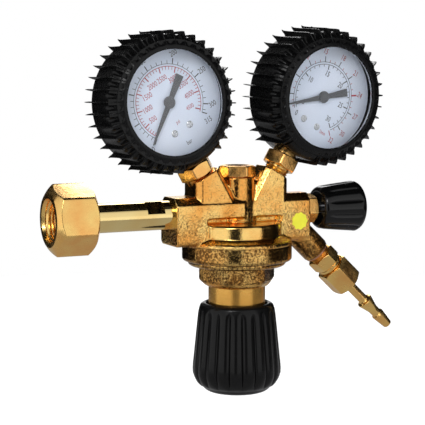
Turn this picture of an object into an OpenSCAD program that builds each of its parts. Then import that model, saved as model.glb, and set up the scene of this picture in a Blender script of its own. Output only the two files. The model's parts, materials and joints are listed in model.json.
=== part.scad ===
// Single-stage gas regulator with two gauges: a forged brass body, an inlet stem with a
// loose hexagon nut, a spring bonnet with a screwed adjusting knob below, a relief valve
// between two leaning gauges in rubber boots, and a side outlet with a shut-off valve.
// Millimetres. The origin is the inlet sealing plane on the inlet axis. +X runs along the
// inlet axis into the body, +Z is up, and the dials face -Y.

/* [Body] */
// Distance from the inlet sealing plane to the adjusting-screw axis
axis_x = 89.5; // [88:0.5:92]
// Half depth of the inlet arm
arm_half_depth = 11; // [10.8:0.1:11.4]
// Half depth of the valve arm
valve_arm_half_depth = 8; // [8:0.1:8.6]
// Top face of the arms above the inlet axis
arm_top = 9; // [9:0.1:10]
// Bottom face of the arms below the inlet axis
arm_bottom = -16; // [-17:0.5:-15.5]
// Length of the arm on the inlet side
arm_left = 39; // [38:0.5:40]
// Length of the arm on the valve side
arm_right = 40; // [40:0.5:41]
// Radius of the ring above the flange
drum_r = 23.5; // [23:0.1:24]
// Outer radius of the diaphragm flange
flange_r = 29; // [28.5:0.1:30]
// Top of the centre post
post_top = 18.4; // [18:0.1:19]

/* [Inlet] */
// Across-flats size of the inlet nut
nut_af = 32; // [30:0.5:33]
// Length of the inlet nut
nut_length = 21.5; // [21.2:0.1:21.8]
// Radius of the inlet nut's thread wall
inlet_thread_r = 9.74; // [9.6:0.01:9.8]
// Outer radius of the inlet stem
stem_r = 7.5; // [7.4:0.05:7.55]

/* [Bonnet] */
// Across-flats size of the bonnet's hexagon
bonnet_af = 36; // [35:0.5:37]
// Radius of the bonnet's neck
neck_r = 15; // [14.8:0.1:15.1]
// Lift of the adjusting screw for one turn
screw_pitch = 1.5; // [1.25:0.25:1.5]

/* [Knobs] */
// Number of flutes round the adjusting knob
knob_flutes = 20; // [16:1:24]
// Length of the adjusting knob
knob_length = 47.2; // [47:0.1:47.6]
// Largest radius of the adjusting knob
knob_r = 23.6; // [23:0.1:24]
// Number of flutes round the shut-off knob
valve_flutes = 10; // [8:1:11]

/* [Gauges] */
// Lean of each gauge stem away from upright
lean = 29; // [27:0.5:30]
// Turn of the left gauge about its own stem
left_yaw = 3; // [0:1:5]
// Turn of the right gauge about its own stem
right_yaw = 6; // [3:1:8]
// Distance of the left dial's centre along its stem
left_height = 66; // [65.8:0.1:66.2]
// Distance of the right dial's centre along its stem
right_height = 69; // [68.8:0.1:69.2]
// Number of fins round each boot
boot_fins = 36; // [30:1:40]

/* [Outlet] */
// Place along the inlet axis where the outlet axis leaves, from the adjusting axis
outlet_x = 22.8; // [22.5:0.1:23]
// Across-flats size of the outlet adapter
adapter_af = 14; // [14:0.5:15]
// Across-flats size of the union nut
union_af = 16; // [16:0.5:17]

/* [Hidden] */

$fn = 64;
eps = 0.01;
brass = "#D9A94E";
turned_brass = "#E6C070";
steel = "#B8BCC0";
copper = "#B87333";
black = "#202124";
rubber = "#17181A";
dial_white = "#E9EEF4";

// Body levels
arm_chamfer = 4;
arm_edge = 1.5;
undercut_r = 24.3;
undercut_height = 3;
undercut_core = 5;
drum_top = -5.3;
flange_shoulder = -12.7;
flange_slope_end = -14.6;
flange_top = -15.6;
flange_corner = 0.7;
flange_bottom = -25.5;
post_r = 9.4;
stem_offset = 11.5;
boss_top = 22.5;
boss_af = 19;
gauge_thread_r = 6.4;
gauge_hole_bottom = 10;
boss_half_depth = 8;
left_boss_half_depth = 10;
boss_outer = 27;
boss_chamfer = 2.8;
outlet_angle = 133.5;
outlet_boss_r = 7.5;
outlet_boss_end = 34;
outlet_thread_r = 5;
outlet_thread_start = 22;

// Bores inside the body
stem_thread_r = 6.5;
stem_thread_length = 11;
filter_r = 4.5;
filter_length = 8;
gas_way_r = 1.5;
gauge_way_r = 1.2;
seat_bore_r = 6;
seat_bore_top = -8;
high_chamber_r = 5.2;
high_chamber_top = 6;
chamber_r = 18;
chamber_top = -13.5;
diaphragm_r = 22.3;
bonnet_thread_r = 22.5;
diaphragm_top = -19;
diaphragm_t = 1.2;
slip_ring_t = 1;
relief_thread_r = 6;
relief_bottom = 11;
relief_way_x = 7.5;
relief_way_z = 8.5;
relief_way_r = 0.9;
low_way_x = 12;
seat_x = 17;
valve_chamber_r = 5;
gland_thread_r = 6.5;
gland_thread_x = 30;
gland_spot_r = 9;

// Moving fits
shaft_gap = 0.05;
clear_gap = 0.3;

// Bonnet and adjusting screw levels
bonnet_flange_r = 26;
bonnet_flange_bottom = -28;
hex_bottom = -38.5;
bonnet_hex_turn = 48;
neck_bottom = -56;
spring_room_r = 11.5;
spring_room_bottom = -50;
bonnet_mouth_r = 16.5;
spindle_r = 6;
button_r = 10.8;
button_top = -38;
button_bottom = -42;
knob_top = -48;
knob_bottom = knob_top - knob_length;
knob_floor = -66;
knob_cap_r = 13.5;
knob_cap_t = 1.2;
spindle_end = -88;
screw_head_r = 3.4;
plate_bottom = -22.2;

// Reducing valve
seat_level = seat_bore_top + 1;
poppet_r = 3.6;
poppet_pin_r = 1;
seat_insert_r = 2.9;
seat_insert_t = 1.5;
plate_top = -17;
diaphragm_nut_r = 4.5;

// Inlet levels
nut_mouth = -14.5;
collar_start = 0.8;
collar_end = 3;
collar_r = 9.3;
collar_edge = 0.6;
stem_bore_r = 3;
filter_wall = 1.5;
mouth_bevel = 1.2;
nut_chamfer = 1.6;
nut_turn = -10;
seal_r = 7;
seal_bore_r = 4.2;
ring_start = 3.3;
ring_t = 1;
shoulder_x = 4.6;
nut_relief_r = 10.2;
arm_face_x = axis_x - arm_left;

// Outlet stations along the outlet axis
adapter_hex_start = 37.3;
adapter_hex_end = 44.8;
adapter_collar_end = 46.8;
adapter_thread_end = 55.3;
union_start = 47.1;
union_end = 61.8;
union_thread_end = 55.6;
union_shoulder = 59.3;
tail_start = 55.6;
tail_collar_end = 59;
barb_1 = 77.5;
barb_1_end = 84.5;
barb_2 = 89;
tail_end = 98.5;
tail_r = 2.7;
tail_bore_r = 1.6;
tail_collar_r = 5.5;
barb_r = 4.5;
orifice_r = 3;
orifice_end = 29;
adapter_collar_r = 7;
outlet_hex_turn = 20;
union_turn = 30;

// Shut-off valve stations from the adjusting axis
disc_start = 17.3;
disc_end = 20.5;
packing_start = 27;
gland_hex_start = arm_right;
gland_hex_end = 46;
gland_af = 14;
valve_spindle_r = 3;
valve_knob_start = 47.8;
valve_knob_end = 72.8;
valve_knob_near_r = 12;
valve_knob_far_r = 13.9;
valve_spindle_end = valve_knob_end - 6;
sticker_x = 33.3;
sticker_z = -5.8;
sticker_r = 4.7;
sticker_t = 0.2;

// Gauge levels in front of the stem's plane
case_r = 31.5;
case_back = -9;
case_front = 15.5;
case_wall = 0.9;
bezel_front = 17;
bezel_bore_r = 26.95;
lens_back = 14;
dial_back = 8.6;
dial_front = 9.2;
dial_screw_head = 0.5;
pointer_back = 10;
hub_front = 11;
arbor_end = 10.7;
dial_r = 29.5;
boot_back = -12;
boot_front = 18.6;
boot_r = 34.7;
boot_fin_r = 37.2;
boot_window_r = 26.6;
fin_width = 1.3;
fin_gap = 18;
socket_hex_af = 17;
socket_hex_start = 43;
socket_hex_end = 36;
socket_neck_r = 6.4;
block_half_width = 7;
block_top = -19;
block_bottom = -29;
block_half_depth = 6;
movement_screw_x = 4.8;
movement_screw_y = -15.4;
dial_screw_r = 0.9;
arbor_r = 0.8;
pinion_r = 1.7;
sector_pivot_y = -15;
sector_r = 13;
sector_half_angle = 30;
sector_rest = -17;
sector_back = 1.5;
sector_t = 1.5;
tube_mid_r = 24;
tube_start = -62;
tube_end = 205;
zero_angle = 217.5;
pointer_length = 24;
pointer_tail = 15;

// ---------- frames and shared shapes ----------

module at_axis() { translate([axis_x, 0, 0]) children(); }
module along_x(x) { translate([x, 0, 0]) rotate([0, 90, 0]) children(); }
module outlet_frame() {
    translate([axis_x + outlet_x, 0, 0]) rotate([0, outlet_angle, 0]) children();
}
module stem_frame(side) {
    translate([axis_x + side * stem_offset, 0, 0]) rotate([0, side * lean, 0]) children();
}

function gauge_height(side) = side < 0 ? left_height : right_height;
function gauge_yaw(side) = side < 0 ? left_yaw : right_yaw;

// Dial frame: X right, Y up along the stem, Z towards the reader, origin on the stem's plane.
module dial_frame(side) {
    stem_frame(side) translate([0, 0, gauge_height(side)])
        rotate([0, 0, gauge_yaw(side)]) rotate([90, 0, 0]) children();
}

module hexagon(af, h) { cylinder(r = af / 2 / cos(30), h = h, $fn = 6); }
module rod(r, from, to) { translate([0, 0, from]) cylinder(r = r, h = to - from); }
module tube(r, bore, from, to) {
    difference() {
        rod(r, from, to);
        rod(bore, from - 1, to + 1);
    }
}
module turned(points) { rotate_extrude() polygon(points); }

// A hexagon whose corners are turned down at both ends.
module chamfered_hexagon(af, from, to, drop) {
    corner = af / 2 / cos(30);
    face_r = af / 2 + 0.1;
    intersection() {
        translate([0, 0, from]) hexagon(af, to - from);
        turned([[0, from], [face_r, from], [corner, from + drop],
            [corner, to - drop], [face_r, to], [0, to]]);
    }
}

// A coil spring as a hollow sleeve of its outer shape.
module spring_sleeve(r, wire, from, to) { tube(r, r - wire, from, to); }

// ---------- body ----------

module arm_section(d) {
    polygon([[-d, arm_bottom + arm_edge], [arm_edge - d, arm_bottom], [d - arm_edge, arm_bottom],
        [d, arm_bottom + arm_edge], [d, arm_top - arm_chamfer], [d - arm_chamfer, arm_top],
        [arm_chamfer - d, arm_top], [-d, arm_top - arm_chamfer]]);
}

// The two arms, relieved over the ring but not through their core.
module arms() {
    difference() {
        rotate([90, 0, 90]) {
            translate([0, 0, -arm_left]) linear_extrude(arm_left) arm_section(arm_half_depth);
            translate([0, 0, -eps]) linear_extrude(arm_right + eps) arm_section(valve_arm_half_depth);
        }
        difference() {
            tube(undercut_r, post_r + 0.2, drum_top, drum_top + undercut_height);
            translate([-undercut_r, -undercut_core, drum_top - 1])
                cube([2 * undercut_r, 2 * undercut_core, undercut_height + 2]);
        }
    }
}

// A leaning block for one gauge, cut upright on its outer side.
module gauge_boss(side) {
    d = side < 0 ? left_boss_half_depth : boss_half_depth;
    c = boss_chamfer;
    inner = boss_af / 2;
    reach = boss_outer + inner;
    intersection() {
        stem_frame(side) linear_extrude(boss_top)
            polygon([[side * reach, -d], [side * reach, d], [side * (c - inner), d],
                [-side * inner, d - c], [-side * inner, c - d], [side * (c - inner), -d]]);
        at_axis() linear_extrude(boss_outer)
            polygon([[0, -d], [side * (boss_outer - c), -d], [side * boss_outer, c - d],
                [side * boss_outer, d - c], [side * (boss_outer - c), d], [0, d]]);
    }
}

module body_solid() {
    at_axis() {
        arms();
        turned([[0, drum_top], [drum_r - 1, drum_top], [drum_r, drum_top - 1], [drum_r, flange_shoulder],
            [flange_r - flange_corner, flange_slope_end], [flange_r, flange_top],
            [flange_r, flange_bottom + 1], [flange_r - 1, flange_bottom], [0, flange_bottom]]);
        rod(post_r, drum_top - 1, post_top);
    }
    for (side = [-1, 1]) gauge_boss(side);
    outlet_frame() cylinder(r = outlet_boss_r, h = outlet_boss_end);
}

module body_bores() {
    filter_start = arm_face_x + stem_thread_length + 1;
    along_x(arm_face_x - 1) cylinder(r = stem_thread_r, h = stem_thread_length + 2);
    along_x(filter_start - eps) cylinder(r = filter_r, h = filter_length + 1);
    along_x(filter_start) cylinder(r = gas_way_r, h = axis_x - high_chamber_r - filter_start + 1);
    at_axis() {
        rod(bonnet_thread_r, flange_bottom - 1, diaphragm_top);
        rod(chamber_r, diaphragm_top - 1, chamber_top);
        rod(seat_bore_r, chamber_top - 1, seat_bore_top);
        rod(high_chamber_r, seat_bore_top - 1, high_chamber_top);
        rod(relief_thread_r, relief_bottom, post_top + 1);
        rod(gauge_way_r, relief_way_z, relief_bottom + 1);
        translate([relief_way_x, 0, 0]) rod(relief_way_r, chamber_top - 1, relief_way_z);
        translate([0, 0, relief_way_z]) rotate([0, 90, 0]) cylinder(r = relief_way_r, h = relief_way_x);
        translate([low_way_x, 0, 0]) rod(gas_way_r, chamber_top - 1, 0);
        rotate([0, 90, 0]) {
            rod(gas_way_r, low_way_x, seat_x + 1);
            rod(valve_chamber_r, seat_x, arm_right + 1);
            rod(gland_thread_r, gland_thread_x, arm_right + 1);
            rod(gland_spot_r, arm_right, gland_hex_end + 1);
        }
    }
    for (side = [-1, 1]) stem_frame(side) {
        rod(gauge_thread_r, gauge_hole_bottom, boss_top + 1);
        rod(gauge_way_r, 0, gauge_hole_bottom + 1);
    }
    outlet_frame() {
        rod(gas_way_r, 1, outlet_boss_end);
        rod(outlet_thread_r, outlet_thread_start, outlet_boss_end + 1);
    }
}

module body() {
    color(brass) difference() {
        body_solid();
        body_bores();
    }
}

// ---------- inlet ----------

module inlet_stem() {
    color(turned_brass) along_x(0) difference() {
        union() {
            turned([[0, collar_start], [collar_r - collar_edge, collar_start],
                [collar_r, collar_start + collar_edge], [collar_r, collar_end],
                [stem_r, collar_end], [stem_r, arm_face_x], [0, arm_face_x]]);
            rod(stem_thread_r, arm_face_x - 1, arm_face_x + stem_thread_length);
        }
        rod(stem_bore_r, -1, arm_face_x + stem_thread_length + 1);
    }
}

module inlet_seal() { color(rubber) along_x(0) tube(seal_r, seal_bore_r, 0, collar_start); }

module inlet_filter() {
    start = arm_face_x + stem_thread_length + 1;
    color("#9A6A3A") along_x(0) difference() {
        rod(filter_r, start, start + filter_length);
        rod(filter_r - filter_wall, start - 1, start + filter_length - filter_wall);
    }
}

module nut_thrust_ring() {
    color(brass) along_x(0) tube(collar_r + 0.3, stem_r + clear_gap, ring_start, ring_start + ring_t);
}

module inlet_nut() {
    nut_end = nut_mouth + nut_length;
    color(turned_brass) along_x(0) difference() {
        rotate([0, 0, nut_turn]) chamfered_hexagon(nut_af, nut_mouth, nut_end, nut_chamfer);
        rod(inlet_thread_r, nut_mouth - 1, 0);
        rod(nut_relief_r, 0, shoulder_x);
        rod(stem_r + clear_gap, 0, nut_end + 1);
        turned([[0, nut_mouth - eps], [inlet_thread_r + mouth_bevel, nut_mouth - eps],
            [inlet_thread_r, nut_mouth + mouth_bevel], [0, nut_mouth + mouth_bevel]]);
    }
}

// ---------- pressure-reducing valve ----------

module valve_nozzle() {
    key_af = 10;
    key_h = 2;
    lip_r = 2.4;
    bore_r = 1.6;
    color(brass) at_axis() difference() {
        union() {
            rod(seat_bore_r, chamber_top, seat_bore_top);
            translate([0, 0, chamber_top - key_h]) hexagon(key_af, key_h + eps);
            rod(lip_r, seat_bore_top - 1, seat_level);
        }
        rod(bore_r, chamber_top - key_h - 1, seat_level + 1);
    }
}

module valve_poppet() {
    color(steel) at_axis() difference() {
        union() {
            rod(poppet_r, seat_level + clear_gap, seat_level + 3.5);
            rod(1.4, seat_level + 3, high_chamber_top - 1.5);
            rod(poppet_pin_r, plate_top, seat_level + 1);
        }
        tube(seat_insert_r, poppet_pin_r, seat_level, seat_level + seat_insert_t);
    }
}

module valve_seat_insert() {
    color("#E8E4DA") at_axis()
        tube(seat_insert_r, poppet_pin_r, seat_level + clear_gap, seat_level + seat_insert_t);
}

module valve_spring() {
    color(steel) at_axis() spring_sleeve(3, 0.7, seat_level + 3.5, high_chamber_top);
}

module diaphragm() {
    inner_r = 1.8;
    color("#2A2622") at_axis() tube(diaphragm_r, inner_r, diaphragm_top - diaphragm_t, diaphragm_top);
}

module diaphragm_slip_ring() {
    top = diaphragm_top - diaphragm_t;
    color(brass) at_axis() tube(diaphragm_r, chamber_r, top - slip_ring_t, top);
}

module diaphragm_plate() {
    plate_r = 14;
    rim_r = 6;
    rim_h = 0.8;
    under = diaphragm_top - diaphragm_t - clear_gap;
    color(steel) at_axis() {
        rod(plate_r, plate_bottom, under);
        rod(1.4, under - eps, diaphragm_top + clear_gap);
        tube(rim_r, rim_r - 1, plate_bottom - rim_h, plate_bottom + eps);
    }
}

module diaphragm_nut() {
    color(brass) at_axis() rod(diaphragm_nut_r, diaphragm_top + clear_gap, plate_top - clear_gap);
}

// ---------- bonnet and adjusting screw ----------

module bonnet() {
    hex_corner = 20.2;
    hex_top = bonnet_flange_bottom + 1;
    ring_top = diaphragm_top - diaphragm_t - slip_ring_t;
    color(turned_brass) at_axis() difference() {
        union() {
            rod(bonnet_thread_r, flange_bottom, ring_top);
            turned([[0, flange_bottom], [bonnet_flange_r, flange_bottom],
                [bonnet_flange_r, flange_bottom - 1.3], [bonnet_flange_r - 1.2, bonnet_flange_bottom],
                [0, bonnet_flange_bottom]]);
            intersection() {
                rotate([0, 0, bonnet_hex_turn]) translate([0, 0, hex_bottom])
                    hexagon(bonnet_af, hex_top - hex_bottom);
                turned([[0, hex_top], [hex_corner, hex_top], [hex_corner, hex_bottom + 1.2],
                    [bonnet_af / 2 - 0.6, hex_bottom], [0, hex_bottom]]);
            }
            rod(neck_r, neck_bottom, hex_top);
        }
        rod(spring_room_r, spring_room_bottom, ring_top + 1);
        rod(bonnet_mouth_r, bonnet_flange_bottom, ring_top + 1);
        rod(spindle_r + shaft_gap, neck_bottom - 1, spring_room_bottom + 1);
    }
}

module adjusting_spring() {
    color(steel) at_axis() spring_sleeve(9.5, 3.2, button_top, plate_bottom);
}

module spring_button() {
    color(steel) at_axis() {
        rod(button_r, button_bottom, button_top);
        rod(5.6, button_top - eps, button_top + 2.5);
    }
}

module adjusting_spindle() {
    color(steel) at_axis() turned([[0, spindle_end], [spindle_r, spindle_end],
        [spindle_r, button_bottom - 2.5], [spindle_r - 2, button_bottom - clear_gap],
        [0, button_bottom - clear_gap]]);
}

module knob_profile() {
    polygon([[0, knob_bottom], [15.8, knob_bottom], [17.6, knob_bottom + 1.4], [19.8, knob_bottom + 3.2],
        [knob_r - 1.1, knob_bottom + 6.5], [knob_r, knob_bottom + 11.5], [20.6, knob_top - 6.5],
        [19.8, knob_top - 2.6], [18.2, knob_top - 0.7], [17, knob_top], [0, knob_top]]);
}

module adjusting_knob() {
    flute_r = 2.6;
    flute_lean = 5.3;
    color(black) at_axis() difference() {
        rotate_extrude() knob_profile();
        for (i = [0 : knob_flutes - 1]) rotate([0, 0, i * 360 / knob_flutes])
            translate([knob_r + 1.3, 0, knob_bottom + 4.5]) rotate([0, -flute_lean, 0])
                cylinder(r = flute_r, h = knob_length - 8, $fn = 32);
        rod(neck_r + 1.2, knob_floor, knob_top + 1);
        rod(spindle_r, spindle_end, knob_floor + 1);
        rod(screw_head_r + clear_gap, knob_bottom - 1, spindle_end + 1);
        rod(knob_cap_r, knob_bottom - 1, knob_bottom + knob_cap_t);
    }
}

module knob_cap() { color(black) at_axis() rod(knob_cap_r, knob_bottom, knob_bottom + knob_cap_t); }

module knob_screw() {
    color(steel) at_axis() rod(screw_head_r, knob_bottom + knob_cap_t + clear_gap, spindle_end);
}

// ---------- relief valve ----------

module relief_housing() {
    cap_top = 24.5;
    cap_af = 17;
    room_r = 4;
    vent_z = 20.6;
    color(turned_brass) at_axis() difference() {
        union() {
            chamfered_hexagon(cap_af, post_top, cap_top, 0.8);
            rod(relief_thread_r, relief_bottom + 1, post_top + eps);
        }
        rod(room_r, relief_bottom, cap_top - 2);
        for (turn = [30 : 60 : 150]) rotate([0, 0, turn]) translate([0, 0, vent_z]) rotate([0, 90, 0])
            translate([0, 0, -cap_af]) cylinder(r = 0.8, h = 2 * cap_af);
    }
}

module relief_poppet() {
    color(brass) at_axis() {
        rod(3.6, relief_bottom + clear_gap, relief_bottom + 3);
        rod(1.4, relief_bottom + 2, relief_bottom + 6);
    }
}

module relief_spring() { color(steel) at_axis() spring_sleeve(3.2, 0.8, relief_bottom + 3, 22.5); }

// ---------- outlet ----------

module flow_orifice() { color(brass) outlet_frame() tube(orifice_r, 0.4, orifice_end - 3, orifice_end); }

module outlet_adapter() {
    core_r = 5.8;
    bore_r = 1.8;
    thread_r = 6.4;
    color(turned_brass) outlet_frame() difference() {
        union() {
            turned([[0, outlet_thread_start], [outlet_thread_r, outlet_thread_start],
                [outlet_thread_r, outlet_boss_end], [core_r, outlet_boss_end],
                [core_r, adapter_hex_end], [adapter_collar_r, adapter_hex_end - eps],
                [adapter_collar_r, adapter_collar_end], [thread_r, adapter_collar_end],
                [thread_r, adapter_thread_end], [0, adapter_thread_end]]);
            rotate([0, 0, outlet_hex_turn])
                chamfered_hexagon(adapter_af, adapter_hex_start, adapter_hex_end, 0.7);
        }
        rod(bore_r, outlet_thread_start - 1, adapter_thread_end + 1);
        rod(orifice_r, outlet_thread_start - 1, orifice_end);
    }
}

module outlet_seal() {
    color(copper) outlet_frame()
        tube(7, outlet_thread_r + 0.85, outlet_boss_end, outlet_boss_end + 0.8);
}

module union_nut() {
    color(turned_brass) outlet_frame() difference() {
        rotate([0, 0, union_turn]) chamfered_hexagon(union_af, union_start, union_end, 0.9);
        rod(6.7, union_start - 1, union_thread_end);
        rod(tail_collar_r + clear_gap, union_thread_end - 1, union_shoulder);
        rod(3.3, union_shoulder - 1, union_end + 1);
    }
}

module hose_tail() {
    color(turned_brass) outlet_frame() difference() {
        turned([[0, tail_start], [tail_collar_r, tail_start], [tail_collar_r, tail_collar_end],
            [tail_r, tail_collar_end], [tail_r, barb_1 - 1.2], [barb_r, barb_1], [tail_r, barb_1_end],
            [tail_r, barb_2 - 0.8], [barb_r - 1, barb_2], [2.4, tail_end - 0.5],
            [2, tail_end], [0, tail_end]]);
        rod(tail_bore_r, tail_start - 1, tail_end + 1);
    }
}

// ---------- shut-off valve ----------

module gland_nut() {
    color(turned_brass) along_x(axis_x) difference() {
        union() {
            rod(gland_thread_r - shaft_gap, gland_thread_x, gland_hex_start);
            chamfered_hexagon(gland_af, gland_hex_start, gland_hex_end, 0.7);
        }
        rod(valve_spindle_r + shaft_gap, gland_thread_x - 1, gland_hex_end + 1);
    }
}

module gland_packing() {
    color("#D8D2C4") along_x(axis_x)
        tube(valve_chamber_r - shaft_gap, valve_spindle_r + shaft_gap, packing_start, gland_thread_x);
}

module shutoff_disc() { color(brass) along_x(axis_x) rod(3.8, disc_start, disc_end); }

module shutoff_spindle() {
    color(steel) along_x(axis_x) rod(valve_spindle_r, disc_end + clear_gap, valve_spindle_end);
}

module shutoff_knob() {
    near = valve_knob_start;
    far = valve_knob_end;
    flute_r = 2.4;
    flute_lean = 4.6;
    hollow_r = 8.6;
    end_recess_r = 8;
    color(black) along_x(axis_x) difference() {
        turned([[0, near], [valve_knob_near_r - 2.6, near], [valve_knob_near_r - 0.8, near + 1],
            [valve_knob_near_r, near + 3.4], [valve_knob_far_r, far - 3.5],
            [valve_knob_far_r - 1, far - 1], [valve_knob_far_r - 3, far], [0, far]]);
        for (i = [0 : valve_flutes - 1]) rotate([0, 0, i * 360 / valve_flutes])
            translate([valve_knob_near_r + 1.4, 0, near - 1]) rotate([0, flute_lean, 0])
                cylinder(r = flute_r, h = far - near - 3, $fn = 32);
        rod(valve_spindle_r, near - 1, valve_spindle_end);
        rod(3.4, valve_spindle_end - eps, far - 1.5);
        rod(hollow_r, near - 1, near + 2.5);
        rod(end_recess_r, far - 1.5, far + 1);
    }
}

module shutoff_screw() {
    color(steel) along_x(axis_x) rod(2.8, valve_spindle_end, valve_spindle_end + 4);
}

module round_sticker() {
    color("#F2E23A") translate([axis_x + sticker_x, -valve_arm_half_depth, sticker_z])
        rotate([90, 0, 0]) cylinder(r = sticker_r, h = sticker_t);
}

// ---------- gauges, each part built in its dial frame ----------

module gauge_seals() {
    color(copper) for (side = [-1, 1]) stem_frame(side)
        tube(6, 3, gauge_hole_bottom, gauge_hole_bottom + 1);
}

module dial_screws() {
    color(steel) for (side = [-1, 1]) dial_frame(side) for (x = [-1, 1])
        translate([x * movement_screw_x, movement_screw_y, 0]) {
            rod(1.8, dial_front, dial_front + dial_screw_head);
            rod(dial_screw_r, dial_front - 3, dial_front + eps);
        }
}

module downward(from, to, r) { rotate([90, 0, 0]) rod(r, from, to); }

// The block inside the case that carries the tube and the movement.
module stem_block() {
    translate([-block_half_width, block_bottom, -block_half_depth])
        cube([2 * block_half_width, block_top - block_bottom, 2 * block_half_depth]);
}

module gauge_socket(side) {
    thread_end = gauge_height(side) - gauge_hole_bottom - 1;
    color(turned_brass) dial_frame(side) difference() {
        union() {
            downward(socket_hex_start - eps, thread_end, gauge_thread_r);
            rotate([90, 0, 0]) chamfered_hexagon(socket_hex_af, socket_hex_end, socket_hex_start, 0.7);
            downward(case_r - 4.5, socket_hex_end + eps, socket_neck_r);
            stem_block();
        }
        downward(22, thread_end + 1, gauge_way_r);
    }
}

module gauge_case(side) {
    color(black) dial_frame(side) difference() {
        turned([[0, case_back], [case_r - 1.5, case_back], [case_r, case_back + 1.5], [case_r, case_front],
            [case_r - case_wall, case_front], [case_r - case_wall, case_back + 1.9],
            [case_r - 1.9, case_back + case_wall], [0, case_back + case_wall]]);
        downward(case_r - 6, case_r + 1, socket_neck_r);
    }
}

module gauge_bezel(side) {
    color(steel) dial_frame(side) tube(case_r - 0.2, bezel_bore_r, case_front, bezel_front);
}

module gauge_lens(side) {
    color("#DDEEFF", 0.3) dial_frame(side) rod(case_r - case_wall, lens_back, case_front);
}

module gauge_dial(side) {
    color(dial_white) dial_frame(side) difference() {
        rod(dial_r, dial_back, dial_front);
        rod(2, dial_back - 1, dial_front + 1);
        for (x = [-1, 1]) translate([x * movement_screw_x, movement_screw_y, 0])
            rod(dial_screw_r, dial_back - 1, dial_front + 1);
    }
}

module bourdon_tube(side) {
    color("#C58A4A") dial_frame(side) difference() {
        translate([0, 0, -3.5]) rotate_extrude(angle = tube_end - tube_start, start = tube_start)
            translate([tube_mid_r - 0.8, 0]) square([1.6, 7]);
        stem_block();
    }
}

module gauge_movement(side) {
    plate_half = 9;
    plate_top = 7;
    pillar_r = 1.5;
    color(turned_brass) dial_frame(side) difference() {
        union() {
            for (level = [-3, 6]) translate([-plate_half, block_top, level])
                cube([2 * plate_half, plate_top - block_top, 1]);
            for (x = [-1, 1]) translate([x * 7.2, 4.5, 0]) rod(pillar_r, -2 - eps, 6 + eps);
            for (x = [-1, 1]) translate([x * movement_screw_x, movement_screw_y, 0])
                rod(pillar_r, 7 - eps, dial_back);
        }
        rod(arbor_r + shaft_gap, -4, 8);
        translate([0, sector_pivot_y, 0]) rod(arbor_r + shaft_gap, -4, 8);
        for (x = [-1, 1]) translate([x * movement_screw_x, movement_screw_y, 0])
            rod(dial_screw_r, dial_front - 3, dial_front);
    }
}

module sector(side) {
    sector_span_x = sector_r * 2 * sin(sector_half_angle);
    sector_span_y = sector_r * 2 * cos(sector_half_angle);
    color(turned_brass) dial_frame(side) translate([0, sector_pivot_y, 0]) rotate([0, 0, sector_rest]) {
        rod(arbor_r, -3, 7);
        translate([0, 0, sector_back]) linear_extrude(sector_t) difference() {
            union() {
                circle(r = 2.4);
                intersection() {
                    circle(r = sector_r);
                    polygon([[0, 0], [-sector_span_x, sector_span_y], [sector_span_x, sector_span_y]]);
                }
            }
            intersection() {
                difference() {
                    circle(r = sector_r - 2.6);
                    circle(r = 4.2);
                }
                polygon([[0, 2], [-5, 13], [5, 13]]);
            }
        }
    }
}

module pinion(side) {
    color(steel) dial_frame(side) {
        rod(arbor_r, -3, arbor_end);
        rod(pinion_r, sector_back - 0.3, sector_back + sector_t + 0.4);
    }
}

module pointer(side) {
    t = 0.5;
    color("#4A4C50") dial_frame(side) difference() {
        union() {
            rotate([0, 0, zero_angle]) translate([0, 0, pointer_back]) linear_extrude(t)
                polygon([[0, -1.1], [pointer_length - 5, -0.6], [pointer_length, -0.15],
                    [pointer_length, 0.15], [pointer_length - 5, 0.6], [0, 1.1],
                    [-pointer_tail, 2.1], [-pointer_tail, -2.1]]);
            rod(3.2, pointer_back, hub_front);
        }
        rod(arbor_r, pointer_back - 1, arbor_end);
    }
}

module boot(side) {
    fin_depth = boot_fin_r - boot_r + 1;
    color(rubber) dial_frame(side) difference() {
        union() {
            rod(boot_r, boot_back, boot_front);
            translate([0, 0, boot_back + 1]) linear_extrude(boot_front - boot_back - 3)
                for (i = [0 : boot_fins - 1]) if (abs(i * 360 / boot_fins - 270) > fin_gap)
                    rotate([0, 0, i * 360 / boot_fins])
                    translate([boot_fin_r - fin_depth, -fin_width / 2]) square([fin_depth, fin_width]);
        }
        rod(case_r, case_back, bezel_front);
        rod(24, boot_back - 1, case_back + 1);
        rod(boot_window_r, bezel_front - 1, boot_front + 1);
        downward(case_r - 6, boot_fin_r + 2, 9.2);
    }
}

module left_socket() { gauge_socket(-1); }
module left_case() { gauge_case(-1); }
module left_bezel() { gauge_bezel(-1); }
module left_lens() { gauge_lens(-1); }
module left_dial() { gauge_dial(-1); }
module left_tube() { bourdon_tube(-1); }
module left_movement() { gauge_movement(-1); }
module left_sector() { sector(-1); }
module left_pinion() { pinion(-1); }
module left_pointer() { pointer(-1); }
module left_boot() { boot(-1); }
module right_socket() { gauge_socket(1); }
module right_case() { gauge_case(1); }
module right_bezel() { gauge_bezel(1); }
module right_lens() { gauge_lens(1); }
module right_dial() { gauge_dial(1); }
module right_tube() { bourdon_tube(1); }
module right_movement() { gauge_movement(1); }
module right_sector() { sector(1); }
module right_pinion() { pinion(1); }
module right_pointer() { pointer(1); }
module right_boot() { boot(1); }

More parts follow.
